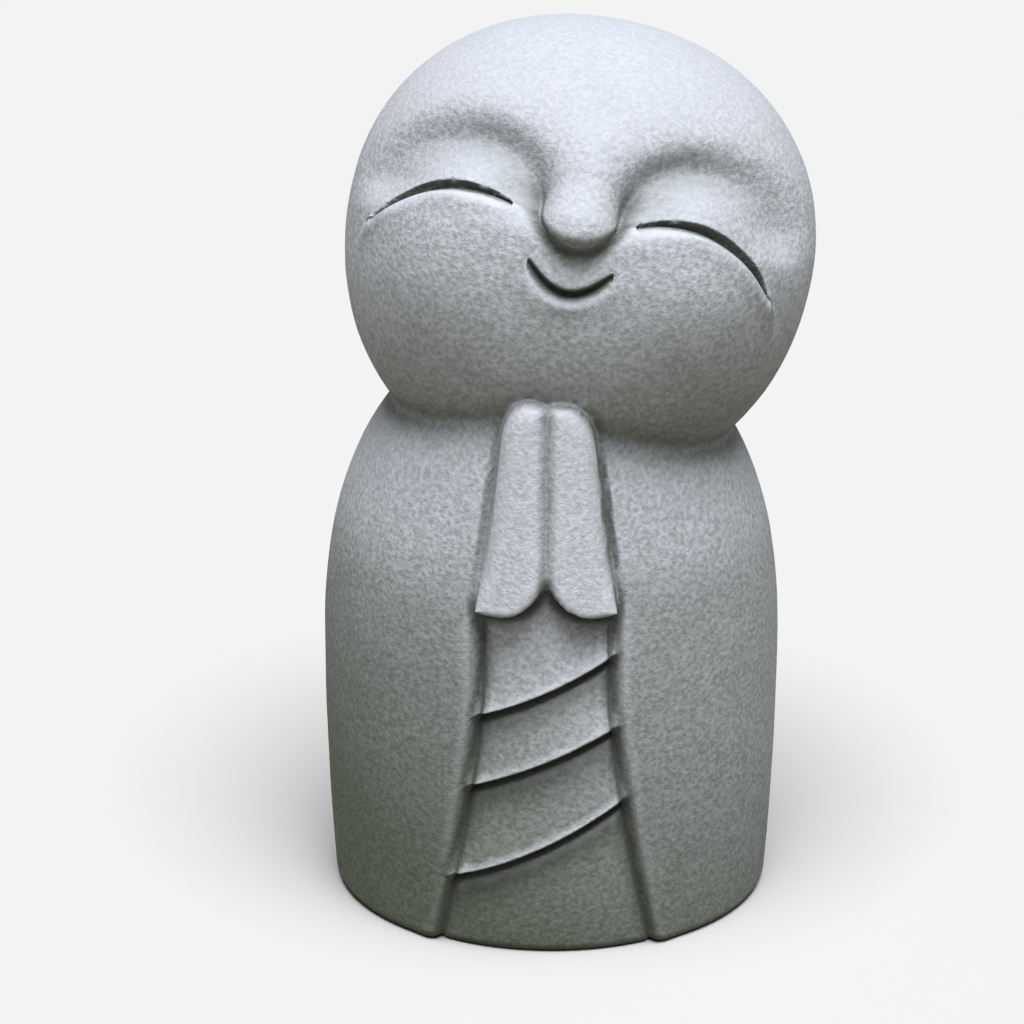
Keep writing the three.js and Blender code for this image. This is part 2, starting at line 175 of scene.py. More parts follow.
def robeHalfWidth(z):
    drawnIn = (robe["width"] - robe["footWidth"]) / 2 * belowBelly(z) ** 2
    return domed(robe["width"] / 2, robe["sideDome"], robe["sidePower"], z) - drawnIn


def robeDepth(z, front):
    spread = (robe["footFrontDepth"] - robe["frontDepth"]) * belowBelly(z) ** 2
    ahead = domed(robe["frontDepth"], robe["frontDome"], robe["frontPower"], z) + spread
    behind = robeHalfWidth(z) * robe["backDepth"] / (robe["width"] / 2)
    return np.where(front, ahead, behind)


def robeForm(x, y, z):
    front = y < 0
    rho = np.hypot(x / robeHalfWidth(z), y / robeDepth(z, front))
    slope = (robeDepth(z - slopeStep, front) - robeDepth(z + slopeStep, front)) / (2 * slopeStep)
    level = np.hypot(x, y) * (1 - 1 / np.maximum(rho, leastShare))
    return np.maximum(level / np.hypot(1, slope), z - head["middle"][2])


def openingHalfWidth(z):
    above = np.maximum(z - hands["cuffHeight"], 0) / hands["length"]
    below = np.maximum(opening["flareHeight"] - z, 0) / opening["flareHeight"]
    upSlot = smoothStep(z, hands["cuffHeight"], hands["cuffHeight"] + opening["slotReach"])
    throat = 1 - opening["throatTaper"] * above ** 2 - opening["slotNarrowing"] * upSlot
    return opening["halfWidth"] * throat + opening["flare"] * below ** opening["flarePower"]


# How deep the under-robe lies in the opening, and where the slots beside the hands are
def recess(x, z):
    cuff, inset, breadth = hands["cuffHeight"], opening["slotInset"], hands["breadth"]
    depth = mix(opening["footRecess"], opening["recess"], smoothStep(z, 0, cuff / 2))
    upSlot = smoothStep(z, cuff, cuff + opening["slotReach"])
    besideHands = mix(opening["cuffRecess"], opening["handRecess"], upSlot)
    inSlot = smoothStep(z, cuff - inset, cuff + inset) * smoothStep(np.abs(x), breadth / 2, breadth - inset)
    return mix(depth, besideHands, inSlot), inSlot


def underRobeForm(x, z, skin):
    cuff = hands["cuffHeight"]
    depth, inSlot = recess(x, z)
    width = openingHalfWidth(z)
    toEdge = np.clip(np.abs(x) / width, 0, 1)
    back = skin + depth * (1 - opening["bulge"] * (1 - toEdge ** 2))
    footOfEdge = width - opening["draft"] * depth - np.abs(x)
    creaseDepth = opening["creaseDepth"] * (1 - smoothStep(z, cuff - opening["creaseFade"], cuff))
    back += creaseDepth * bell(footOfEdge - opening["creaseReach"] / 2, opening["creaseReach"])
    channel = hands["creaseDepth"] * (1 - inSlot)
    back += channel * bell(fromHands(x, z) - hands["creaseReach"], hands["creaseReach"])
    edges = [fold["middle"] + fold["slope"] * x + fold["bow"] * x ** 2 for fold in underRobe["folds"]]
    for edge in edges:
        back += underRobe["creaseDepth"] * bell(edge - z - underRobe["creaseReach"], underRobe["creaseReach"])
    lip = underRobe["lip"] * (1 - smoothStep(np.abs(x), width, width + underRobe["lipFade"]))
    form = back
    for fold, edge in zip(underRobe["folds"], edges):
        swelling = lip * np.clip(1 - (z - edge) / fold["swell"], 0, 1) ** underRobe["swellPower"]
        form = np.minimum(form, smoothMax(back - swelling, edge - z, underRobe["edgeRounding"]))
    return form


def bezier(start, pull, push, end, steps):
    t = np.linspace(0, 1, steps, endpoint=False)[:, None]
    start, pull, push, end = (np.array(point) for point in (start, pull, push, end))
    return (1 - t) ** 3 * start + 3 * (1 - t) ** 2 * t * pull + 3 * (1 - t) * t ** 2 * push + t ** 3 * end


# One hand from the front, in shares of its breadth and length, from the seam round and back to it
def handOutline():
    stretches = [
        bezier((0, 0.22), (0.02, 0.12), (0.28, 0), (0.62, 0), 8),
        bezier((0.62, 0), (0.78, 0), (0.9, 0), (1, 0.01), 4),
        bezier((1, 0.01), (0.93, 0.18), (0.87, 0.29), (0.82, 0.41), 6),
        bezier((0.82, 0.41), (0.78, 0.54), (0.73, 0.67), (0.69, 0.8), 3),
        bezier((0.69, 0.8), (0.65, 0.92), (0.5, 1), (0.28, 1), 8),
        bezier((0.28, 1), (0.1, 1), (0, 0.98), (0, 0.93), 6),
    ]
    corners = np.concatenate(stretches) * (hands["breadth"], hands["length"])
    return corners + (0, hands["cuffHeight"])


def outlineDistance(x, z, corners):
    nearest = np.full(x.shape, np.inf)
    inside = np.zeros(x.shape, bool)
    for (x0, z0), (x1, z1) in zip(corners, np.roll(corners, -1, axis=0)):
        edgeX, edgeZ = x1 - x0, z1 - z0
        offX, offZ = x - x0, z - z0
        along = np.clip((offX * edgeX + offZ * edgeZ) / (edgeX ** 2 + edgeZ ** 2), 0, 1)
        nearest = np.minimum(nearest, np.hypot(offX - edgeX * along, offZ - edgeZ * along))
        if edgeZ:
            inside ^= ((z0 > z) != (z1 > z)) & (x < x0 + edgeX * offZ / edgeZ)
    return np.where(inside, -nearest, nearest)


def fromHands(x, z):
    along = np.clip((z - hands["cuffHeight"]) / hands["length"], 0, 1)
    taper = np.where(x < 0, hands["otherTaper"], hands["taper"]) * along
    return outlineDistance(np.hypot(x, hands["seamRounding"]) * (1 + taper), z, handCorners)


def handsForm(x, y, z):
    upHands = z - hands["cuffHeight"]
    roundness = smoothStep(upHands, 0, hands["roundFrom"] * hands["length"])
    rounding = mix(hands["cuffRounding"], hands["rounding"], roundness)
    beside = fromHands(x, z) + rounding
    lean = hands["lean"] * upHands
    chest = robe["frontDepth"] + hands["rise"] + lean - x ** 2 / hands["curve"]
    ahead = rounding - y - chest
    rounded = np.hypot(np.maximum(beside, 0), np.maximum(ahead, 0)) - rounding
    return np.minimum(np.maximum(beside, ahead), 0) + rounded


def robesForm(x, y, z):
    form = robeForm(x, y, z)
    carved = (y < 0) & (z < hands["cuffHeight"] + hands["length"])
    x, y, z, skin = x[carved], y[carved], z[carved], form[carved]
    fromEdge = np.abs(x) - openingHalfWidth(z) - opening["draft"] * skin
    weltHeight = opening["welt"] * (1 - smoothStep(z, opening["weltFull"], opening["weltGone"]))
    welt = weltHeight * bell(fromEdge - opening["weltInset"], opening["weltReach"])
    upSlot = smoothStep(z, hands["cuffHeight"], hands["cuffHeight"] + opening["slotReach"])
    rounding = mix(opening["edgeRounding"], opening["slotEdgeRounding"], upSlot)
    sides = smoothMax(skin - welt, -fromEdge, rounding)
    form[carved] = smoothMin(sides, underRobeForm(x, z, skin), robe["joinRounding"])
    return form


# The head: an egg that leans over, with the face turned up towards the viewer

head = {
    "width": 42.6,
    "depth": 40.6,
    "crownRise": 19.7,
    "jawDrop": 22.6,
    "shift": 2.55,
    "fullness": 2.12,
    "lean": 10.3,
    "facePitch": 16,
    "faceTurn": -3,
    "chin": (50, 60),                   # heights that it lies between
}

# Places on the face are degrees across from its midline and up from its middle, and depths are millimetres
eye = {"shift": -1.5, "peak": 6.4, "middle": 27, "bend": 0.0145, "uneven": 0.0011, "inner": 15.6,
       "outer": 56, "halfWidth": 0.62, "depth": 1.8}
lid = {"starts": 8, "full": 20, "fades": 54, "ends": 66, "edge": 0.35}
brow = {"across": 31.5, "up": 4.5, "tilt": 0.035, "inner": 20, "outer": 27, "rise": 16.5, "depth": 2.1,
        "reach": 1.9, "lidReach": 3.4, "starts": -6, "full": 5, "fade": 0.35, "fadesFrom": 25, "fadesTo": 66}
mouth = {"low": -14.7, "bend": 0.06, "reach": 10.6, "halfWidth": 0.48, "depth": 1.2,
         "lip": 0.25, "lipReach": 1}
cheek = {"across": 36, "up": -10, "reach": 28, "rise": 0.8, "fullness": 0.75, "lip": 0.5, "lipReach": 1.4}
groove = {"rounding": 0.2, "lipRounding": 0.9, "fullness": 0.22, "shallowest": 0.25}
nose = {"tipUp": 1.8, "bridgeUp": 20, "tipRadius": 3.4, "tipDrop": 1.75, "tipBow": 7, "tipRounding": 1.2,
        "tipSink": 0.9, "bridgeRadius": 2.9, "bridgeSink": 2.5, "tipBlend": 0.25, "bridgeBlend": 2.2,
        "creaseDepth": 0.12, "creaseReach": 0.4, "creaseFrom": -2, "creaseTo": 4}
carvedWithin = 6                        # of the plain egg, outwards


# How far above its own middle the leaning egg reaches
def crownReach():
    dual = head["fullness"] / (head["fullness"] - 1)
    lean = math.radians(head["lean"])
    across, up = head["width"] / 2 * math.sin(lean), head["crownRise"] * math.cos(lean)
    return (across ** dual + up ** dual) ** (1 / dual)


head["middle"] = (head["shift"], 0, crownHeight - crownReach())
headLean = Matrix.Rotation(math.radians(head["lean"]), 3, "Y")
facePose = (headLean @ Matrix.Rotation(math.radians(-head["facePitch"]), 3, "X")
            @ Matrix.Rotation(math.radians(head["faceTurn"]), 3, "Z"))
toMillimetres = math.radians((head["width"] + head["depth"]) / 4)


def inHeadAxes(pose, x, y, z):
    offset = np.stack([x, y, z], axis=-1) - head["middle"]
    return (offset @ np.array(pose)).T


def headEgg(x, y, z):
    across, out, up = inHeadAxes(headLean, x, y, z)
    rise = np.where(up > 0, head["crownRise"], head["jawDrop"])
    power = head["fullness"]
    norm = (np.abs(across / (head["width"] / 2)) ** power + np.abs(out / (head["depth"] / 2)) ** power
            + np.abs(up / rise) ** power) ** (1 / power)
    return np.sqrt(across ** 2 + out ** 2 + up ** 2) * (1 - 1 / np.maximum(norm, leastShare))


def eyeBend(side):
    return eye["bend"] + eye["uneven"] * np.sign(side - eye["shift"])


def eyeHeight(side):
    return eye["peak"] - eyeBend(side) * (np.abs(side - eye["shift"]) - eye["middle"]) ** 2


def fromMouthLine(side, up):
    low = mouth["low"] + mouth["bend"] * side ** 2
    return (up - low) * toMillimetres / np.hypot(1, 2 * mouth["bend"] * side)


# How deep each place lies in the hollow under its brow, from 0 to 1
def browHollow(side, up):
    fromMiddle = np.abs(side)
    reach = np.where(fromMiddle > brow["across"], brow["outer"], brow["inner"])
    overMiddle = up - brow["up"] - brow["tilt"] * side
    ring = np.hypot((fromMiddle - brow["across"]) / reach, overMiddle / brow["rise"])
    fromBrow = (ring - 1) * np.minimum(reach, brow["rise"]) * toMillimetres
    overEye = smoothStep(overMiddle, brow["starts"], brow["full"])
    towardNose = 1 - brow["fade"] * smoothStep(fromMiddle, brow["fadesFrom"], brow["fadesTo"])
    spread = np.where(fromBrow > 0, brow["reach"], brow["lidReach"])
    return overEye * towardNose * bell(fromBrow, spread)


# How far the face stands out of the plain egg: the cheeks with their upper edges, the lips and the brows
def faceRelief(side, up):
    across = np.abs(side - eye["shift"])
    drop = (eyeHeight(side) - up) * toMillimetres
    lidded = smoothStep(across, lid["starts"], lid["full"])
    lidded *= 1 - smoothStep(across, lid["fades"], lid["ends"])
    below = np.where(drop > 0, 1, bell(drop, lid["edge"]))
    lip = cheek["lip"] * lidded * below * bell(np.maximum(drop, 0), cheek["lipReach"])
    full = np.hypot(across - cheek["across"], up - cheek["up"]) / cheek["reach"]
    swell = cheek["rise"] * bell(full, cheek["fullness"]) * below
    fromLips = np.abs(fromMouthLine(side, up)) - mouth["lipReach"]
    lips = mouth["lip"] * bell(fromLips, mouth["lipReach"]) * bell(side, mouth["reach"])
    return lip + swell + lips - brow["depth"] * browHollow(side, up)


# A bowed groove: its walls close with depth, its lower edge is the rounder one, and it closes at its ends
def cutGroove(form, fromLine, share, halfWidth, depth):
    openness = np.clip(1 - share ** 2, 0, 1) ** groove["fullness"]
    lowerRounding = mix(groove["rounding"], groove["lipRounding"], openness)
    rounding = np.where(fromLine < 0, lowerRounding, groove["rounding"])
    width = mix(-groove["rounding"], halfWidth, openness)
    wall = np.abs(fromLine) - width * (1 + form / (depth * np.maximum(openness, groove["shallowest"])))
    return smoothMax(form, -wall, rounding)


def onFace(up, rise):
    angle = math.radians(up)
    return np.array([0, -math.cos(angle), math.sin(angle)]) * (head["depth"] / 2 + rise)


# A ridge that widens and rises to a round tip, which has a bowed underside
def noseForm(across, out, up):
    tip = onFace(nose["tipUp"], -nose["tipSink"])
    bridge = onFace(nose["bridgeUp"], -nose["bridgeSink"])
    length = np.linalg.norm(bridge - tip)
    way = (bridge - tip) / length
    offset = np.stack([across, out, up], axis=-1) - tip
    within = np.clip(offset @ way, 0, length)
    radius = mix(nose["tipRadius"], nose["bridgeRadius"], within / length)
    ridge = np.linalg.norm(offset - within[:, None] * way, axis=1) - radius
    underside = tip[2] - nose["tipDrop"] + across ** 2 / nose["tipBow"] - up
    return smoothMax(ridge, underside, nose["tipRounding"])


# The degrees across and up of a place in the face's own axes
def facePlace(across, out, up):
    side = np.degrees(np.arctan2(across, -out))
    lift = np.degrees(np.arctan2(up, np.hypot(across, out)))
    return side, lift


def headForm(x, y, z):
    form = headEgg(x, y, z)
    q = inHeadAxes(facePose, x, y, z)
    carved = (q[1] < 0) & (form < carvedWithin)
    across, out, up = q[:, carved]
    side, lift = facePlace(across, out, up)
    face = form[carved] - faceRelief(side, lift)
    blend = mix(nose["tipBlend"], nose["bridgeBlend"], smoothStep(lift, nose["tipUp"], nose["bridgeUp"]))
    ridge = noseForm(across, out, up)
    underNose = 1 - smoothStep(lift, nose["tipUp"] + nose["creaseFrom"], nose["tipUp"] + nose["creaseTo"])
    face += nose["creaseDepth"] * underNose * bell(ridge - nose["creaseReach"] / 2, nose["creaseReach"])
    face = smoothMin(face, ridge, blend)

    fromMiddle = np.abs(side - eye["shift"])
    tilt = -2 * eyeBend(side) * (fromMiddle - eye["middle"])
    fromEye = (lift - eyeHeight(side)) * toMillimetres / np.hypot(1, tilt)
    eyeShare = (2 * fromMiddle - eye["inner"] - eye["outer"]) / (eye["outer"] - eye["inner"])
    face = cutGroove(face, fromEye, eyeShare, eye["halfWidth"], eye["depth"])
    mouthShare = side / mouth["reach"]
    form[carved] = cutGroove(face, fromMouthLine(side, lift), mouthShare, mouth["halfWidth"], mouth["depth"])
    return form


handCorners = handOutline()


def statueForm(points):
    x, y, z = points.T
    figure = smoothMin(robesForm(x, y, z), headForm(x, y, z), robe["neckRounding"])
    fromCuff = z - hands["cuffHeight"]
    near = (y < 0) & (np.abs(x) < hands["breadth"] + hands["nearAside"])
    near &= (fromCuff > -hands["nearBelow"]) & (fromCuff < hands["nearAbove"])
    upHands = fromCuff[near] / hands["length"]
    join = mix(robe["joinRounding"], hands["slotJoin"], smoothStep(upHands, 0, hands["slotsFrom"]))
    join = mix(join, hands["tipJoin"], smoothStep(upHands, hands["tipsFrom"], hands["tipsFull"]))
    figure[near] = smoothMin(figure[near], handsForm(x[near], y[near], z[near]), join)
    return smoothMax(figure, -z, robe["hemRounding"])


# The skin is met by rays from a spine: bearing goes round it, and station goes up it to the middle
# of the head and from there on is the ray's rise in degrees.

straightUp = 90

skin = {
    "columns": 150,
    "rows": 150,
    "spineBend": 0.45,                  # share of the way up to the head where the spine starts to lean
    "farOut": 0.4 * crownHeight,        # where the rays start
    "onSkin": 1e-7,
    "onFloor": 1e-6,
    "strideShare": 0.6,                 # of the distance left, within these limits
    "shortestStride": 0.02,
    "longestStride": 4,
    "halvings": 20,
    "tolerance": 0.02,                  # an edge that leaves the skin by more is split
    "shortest": 0.12,
    "closest": 0.015,
    "passes": 6,
    "samples": 7,
}


def skinPoints(bearing, station):
    middle = head["middle"][2]
    rise = np.radians(np.maximum(station - middle, 0))
    z = np.minimum(station, middle)
    x = head["shift"] * smoothStep(z, skin["spineBend"] * middle, middle)
    origin = np.stack([x, np.zeros_like(x), z], axis=1)
    direction = np.stack([np.cos(rise) * np.sin(bearing), -np.cos(rise) * np.cos(bearing),
                          np.sin(rise)], axis=1)
    outside = np.full(len(x), skin["farOut"])
    inside = outside.copy()
    going = np.arange(len(x))
    while len(going):
        form = statueForm(origin[going] + direction[going] * inside[going, None])
        going, form = going[form > skin["onSkin"]], form[form > skin["onSkin"]]
        outside[going] = inside[going]
        inside[going] -= np.clip(skin["strideShare"] * form, skin["shortestStride"], skin["longestStride"])
    for halving in range(skin["halvings"]):
        middleReach = (outside + inside) / 2
        out = statueForm(origin + direction * middleReach[:, None]) > skin["onSkin"]
        outside = np.where(out, middleReach, outside)
        inside = np.where(out, inside, middleReach)
    return origin + direction * inside[:, None]


def startingNet():
    columns, rows = skin["columns"], skin["rows"]
    bearings = np.arange(columns) / columns * 2 * math.pi
    crownStation = head["middle"][2] + straightUp
    stations = np.arange(rows) / rows * crownStation
    bearing = np.append(np.tile(bearings, rows), [0, 0])
    station = np.append(np.repeat(stations, columns), [crownStation, 0])
    pole = np.zeros(len(bearing), bool)
    crown, sole = len(bearing) - 2, len(bearing) - 1
    pole[[crown, sole]] = True
    faces = []
    for row in range(rows - 1):
        for column in range(columns):
            a = row * columns + column
            b = row * columns + (column + 1) % columns
            faces += [(a, b, b + columns), (a, b + columns, a + columns)]
    top = (rows - 1) * columns
    for column in range(columns):
        after = (column + 1) % columns
        faces += [(top + column, top + after, crown), (after, column, sole)]
    return bearing, station, pole, np.array(faces)


def splitEdges(bearing, station, pole, points, faces):
    sides = np.stack([faces, np.roll(faces, -1, axis=1)], axis=-1).reshape(-1, 2)
    pairs, which = np.unique(np.sort(sides, axis=1), axis=0, return_inverse=True)
    which = which.reshape(-1, 3)
    a, b = pairs.T
    length = np.linalg.norm(points[a] - points[b], axis=1)
    onFloor = (points[a, 2] < skin["onFloor"]) & (points[b, 2] < skin["onFloor"])
    worst = np.full(len(pairs), skin["tolerance"])
    share = np.zeros(len(pairs))
    tested = np.flatnonzero((length > skin["shortest"]) & ~onFloor)
    for step in range(1, skin["samples"] + 1):
        at = step / (skin["samples"] + 1)
        off = np.abs(statueForm(mix(points[a[tested]], points[b[tested]], at)))
        worse = off > worst[tested]
        worst[tested[worse]] = off[worse]
        share[tested[worse]] = at
    cut = np.flatnonzero(share > 0)
    turn = bearing[b[cut]] - bearing[a[cut]]
    turn -= 2 * math.pi * np.round(turn / (2 * math.pi))
    newBearing = bearing[a[cut]] + turn * share[cut]
    newBearing = np.where(pole[a[cut]], bearing[b[cut]], newBearing)
    newBearing = np.where(pole[b[cut]], bearing[a[cut]], newBearing)
    newStation = mix(station[a[cut]], station[b[cut]], share[cut])
    newPoints = skinPoints(newBearing, newStation)
    gap = np.minimum(np.linalg.norm(newPoints - points[a[cut]], axis=1),
                     np.linalg.norm(newPoints - points[b[cut]], axis=1))
    kept = gap > skin["closest"]
    half = np.full(len(pairs), -1)
    half[cut[kept]] = len(points) + np.arange(kept.sum())
    bearing = np.append(bearing, newBearing[kept])
    station = np.append(station, newStation[kept])
    pole = np.append(pole, np.zeros(kept.sum(), bool))
    points = np.concatenate([points, newPoints[kept]])
    return bearing, station, pole, points, cutFaces(points, faces, half[which])


# Each face becomes one to four, by how many of its edges were split
def cutFaces(points, faces, halves):
    split = halves >= 0
    count = split.sum(axis=1)
    whole = faces[count == 0]
    result = [whole]
    turned = faces.copy()
    middles = halves.copy()
    for step in range(2):
        wrong = ((count == 1) & (middles[:, 0] < 0)) | ((count == 2) & (middles[:, 2] >= 0))
        turned[wrong] = np.roll(turned[wrong], -1, axis=1)
        middles[wrong] = np.roll(middles[wrong], -1, axis=1)
    a, b, c = turned.T
    ab, bc, ca = middles.T

    def add(chosen, *corners):
        result.append(np.stack([corner[chosen] for corner in corners], axis=1))

    one, two, three = count == 1, count == 2, count == 3
    add(one, a, ab, c)
    add(one, ab, b, c)
    add(two, ab, b, bc)
    shorter = np.zeros(len(faces), bool)
    shorter[two] = (np.linalg.norm(points[a[two]] - points[bc[two]], axis=1)
                    < np.linalg.norm(points[ab[two]] - points[c[two]], axis=1))
    add(two & shorter, a, ab, bc)
    add(two & shorter, a, bc, c)
    add(two & ~shorter, a, ab, c)
    add(two & ~shorter, ab, bc, c)
    add(three, a, ab, ca)
    add(three, ab, b, bc)
    add(three, ca, bc, c)
    add(three, ab, bc, ca)
    return np.concatenate(result)


# How the stone is tinted

stone = {
    "pale": (0.485, 0.49, 0.50),
    "dark": (0.29, 0.30, 0.29),
    "paintedTopLight": (0.43, 0.435, 0.445),     # painted highlight from the light above: stone that faces up is paler, with its grain evened out
    # dark tint of the hollows: dirt and painted shade together
    "hollowDirtAndShadeTint": (0.07, 0.076, 0.06),
    "dirtAndShade": 0.9,                        # share of it in the deepest hollows
    "dirtAndShadeFrom": 0.1,                    # hollowness where the dirt and painted shade start and where they are full
    "dirtAndShadeFull": 0.6,
    "slotDirtAndShadeSpared": 0.42,                   # share of that missing in the seam and in the slot at -X
    # paler tint: wear together with painted highlight, on the hands and on edges that stand proud
    "wornAndHighlightTint": (0.60, 0.61, 0.62),
    "underShadeTint": (0.34, 0.34, 0.27),    # painted shade: multiplies stone that faces down
    "robeTint": (0.70, 0.71, 0.68),     # multiplies the robe below the hands
    "robeFade": (-1, 6),                # heights above the cuffs between which it fades
    "panelFade": (16, 26),              # heights between which it fades on the under-robe
    "paintedShadeTint": (0.55, 0.56, 0.53),    # painted shade: multiplies the under-robe below each lip
    "paintedShadeReach": 6,
    "browShade": 0.6,                    # share of that painted shade in the hollows under the brows
    "neckShade": 0.8,                    # and where the head meets the robe
    "neckReach": 3.2,
    "footTint": (0.42, 0.46, 0.34),    # darker, greener tint that multiplies the stone towards the foot
    "footTintTop": 30 * mm,
    "footTintBottom": 0,
    "footTintLean": -0.6,                  # more of it on the side at -X
    "grainSize": 0.5 * mm,
    "grainRange": (0.34, 0.66),
    "mottleSize": 2.6 * mm,
    "mottleRange": (0.35, 0.65),
    "mottleTint": (0.82, 0.84, 0.82),
    "mottleShare": 0.35,
    "paintedTopLightRange": (0.25, 0.8),         # of how far the stone faces up
    "paintedTopLightShare": 0.65,
    "underShadeRange": (0.05, -0.55),
    "handsWearAndHighlightShare": 0.3,                # share of the wear and painted highlight tint on the hands
    "proudRange": (0.05, 0.4),
    "wornAndHighlightShare": 0.75,
    "wornAndHighlightFade": (-0.4, 0.1),            # the wear and painted highlight on edges fade out where the stone faces down
    "bump": 0.1667 * mm,
    "roughness": 0.92,
    "specular": 0.25,
}

hollowReaches = ((0.4, 0.25), (0.9, 0.4), (1.8, 0.48), (3.6, 0.5))     # each with its weight
proudReach = 0.9
gradientStep = 0.02


# The outward direction at each point
def slopes(points):
    shifts = np.eye(3) * gradientStep
    rise = [statueForm(points + shift) - statueForm(points - shift) for shift in shifts]
    outward = np.stack(rise, axis=1)
    leastNorm = 1e-9
    return outward / np.maximum(np.linalg.norm(outward, axis=1, keepdims=True), leastNorm)


# How far the stone closes over each point: 0 in the open, near 1 deep in a groove
def hollowness(points, outward):
    closed = np.zeros(len(points))
    for reach, weight in hollowReaches:
        free = statueForm(points + outward * reach) / reach
        closed += weight * np.clip(1 - free, 0, 1)
    return closed


# How far the stone falls away on every side of each point: 0 on flat or hollow stone, 1 on a tight edge
def proudness(points, outward):
    nearlyLevel = 0.9
    aside = np.cross(outward, np.where(np.abs(outward[:, 2:]) < nearlyLevel, (0, 0, 1), (1, 0, 0)))
    aside /= np.linalg.norm(aside, axis=1, keepdims=True)
    along = np.cross(outward, aside)
    falls = [statueForm(points + sign * way * proudReach) for way in (aside, along) for sign in (-1, 1)]
    return np.clip(sum(falls) / len(falls) / proudReach, 0, 1)


def addAttribute(mesh, name, values):
    attribute = mesh.attributes.new(name, "FLOAT", "POINT")
    attribute.data.foreach_set("value", values.astype(np.float32))


# How near the stone is to the full painted shade below the lip of each layer of the under-robe
def belowLips(x, z):
    paintedShade = np.zeros(len(x))
    justAbove = -0.1
    for fold in underRobe["folds"]:
        below = fold["middle"] + fold["slope"] * x + fold["bow"] * x ** 2 - z
        lipShade = 1 - smoothStep(below, 0, stone["paintedShadeReach"])
        paintedShade = np.maximum(paintedShade, np.where(below > justAbove, lipShade, 0))
    return paintedShade


# The seam between the hands and the slot at -X, which get less of the dirt and painted shade of the hollows
def paleHollows(x, y, z):
    cuff, fingertips = hands["cuffHeight"], hands["cuffHeight"] + hands["length"]
    margin = 2
    beside = (y < 0) * (np.abs(x) < hands["breadth"] + margin) * smoothStep(z, cuff, cuff + margin)
    beside *= 1 - smoothStep(z, fingertips - margin / 2, fingertips + margin / 2)
    seamFrom, seamTo = -1.5, -0.5
    return beside * smoothStep(-x, seamFrom, seamTo)


# The masks that the stone's tints are mixed by, from 0 to 1 but for the way that the stone faces
def addMasks(mesh, points):
    x, y, z = points.T
    cuff = hands["cuffHeight"]
    outward = slopes(points)
    # edges that stand proud get wear and painted highlight, but not where they face down
    notUnder = smoothStep(outward[:, 2], *stone["wornAndHighlightFade"])
    addAttribute(mesh, "proud", proudness(points, outward) * notUnder)
    addAttribute(mesh, "facingUp", outward[:, 2])

    # dirt and painted shade where the stone closes over each point
    dirtAndShade = (hollowness(points, outward) - stone["dirtAndShadeFrom"]) / (stone["dirtAndShadeFull"] - stone["dirtAndShadeFrom"])
    held = stone["dirtAndShade"] * (1 - stone["slotDirtAndShadeSpared"] * paleHollows(x, y, z))
    addAttribute(mesh, "hollow", np.clip(dirtAndShade, 0, 1) * held)

    edgeBlend = 0.5
    inOpening = smoothStep(openingHalfWidth(z) - np.abs(x), -edgeBlend, edgeBlend) * (y < 0)
    onRobe = 1 - smoothStep(z - cuff, *stone["robeFade"])
    onPanels = 1 - smoothStep(z, *stone["panelFade"])
    addAttribute(mesh, "low", mix(onRobe, onPanels, inOpening))

    # the hands get wear and painted highlight
    onHands = 1 - smoothStep(handsForm(x, y, z), *hands["tintFade"])
    cuffDrop = 1
    addAttribute(mesh, "handsWearAndHighlight", onHands * (y < 0) * (z > cuff - cuffDrop))

    # painted shade under the brows, where the head meets the robe, and below each lip
    across, out, up = inHeadAxes(facePose, x, y, z)
    aboveChin = smoothStep(z, *head["chin"])
    inBrow = browHollow(*facePlace(across, out, up)) * (out < 0) * aboveChin
    fromNeck = np.maximum(robesForm(x, y, z), headForm(x, y, z))
    atNeck = (1 - smoothStep(fromNeck, 0, stone["neckReach"])) * (1 - onHands)
    browAndNeckShade = stone["browShade"] * inBrow ** 2 + stone["neckShade"] * atNeck
    addAttribute(mesh, "paintedShade", np.clip(belowLips(x, z) * inOpening + browAndNeckShade, 0, 1))


def statueMesh():
    bearing, station, pole, faces = startingNet()
    points = skinPoints(bearing, station)
    points[-1] = 0
    for number in range(skin["passes"]):
        bearing, station, pole, points, faces = splitEdges(bearing, station, pole, points, faces)
        print("skin pass", number + 1, "faces", len(faces))
    mesh = bpy.data.meshes.new("jizoSkin")
    mesh.from_pydata((points * mm).tolist(), [], faces.tolist())
    mesh.update()
    mesh.shade_smooth()
    addMasks(mesh, points)
    return mesh


# Low unevenness of hand-finished stone, made by nodes that push the skin in and out

unevenness = {
    "seed": 7.3,
    "broad": 0.05 * mm,
    "broadSize": 5 * mm,
    "fine": 0.02 * mm,
    "fineSize": 1.4 * mm,
    "detail": 2,
    "startsAt": 0.2 * mm,               # above the floor, so that the underside stays flat
    "fullAt": 1.5 * mm,
}


def setInput(modifier, tree, name, value):
    for item in tree.interface.items_tree:
        if item.item_type == "SOCKET" and item.in_out == "INPUT" and item.name == name:
            modifier[item.identifier] = value


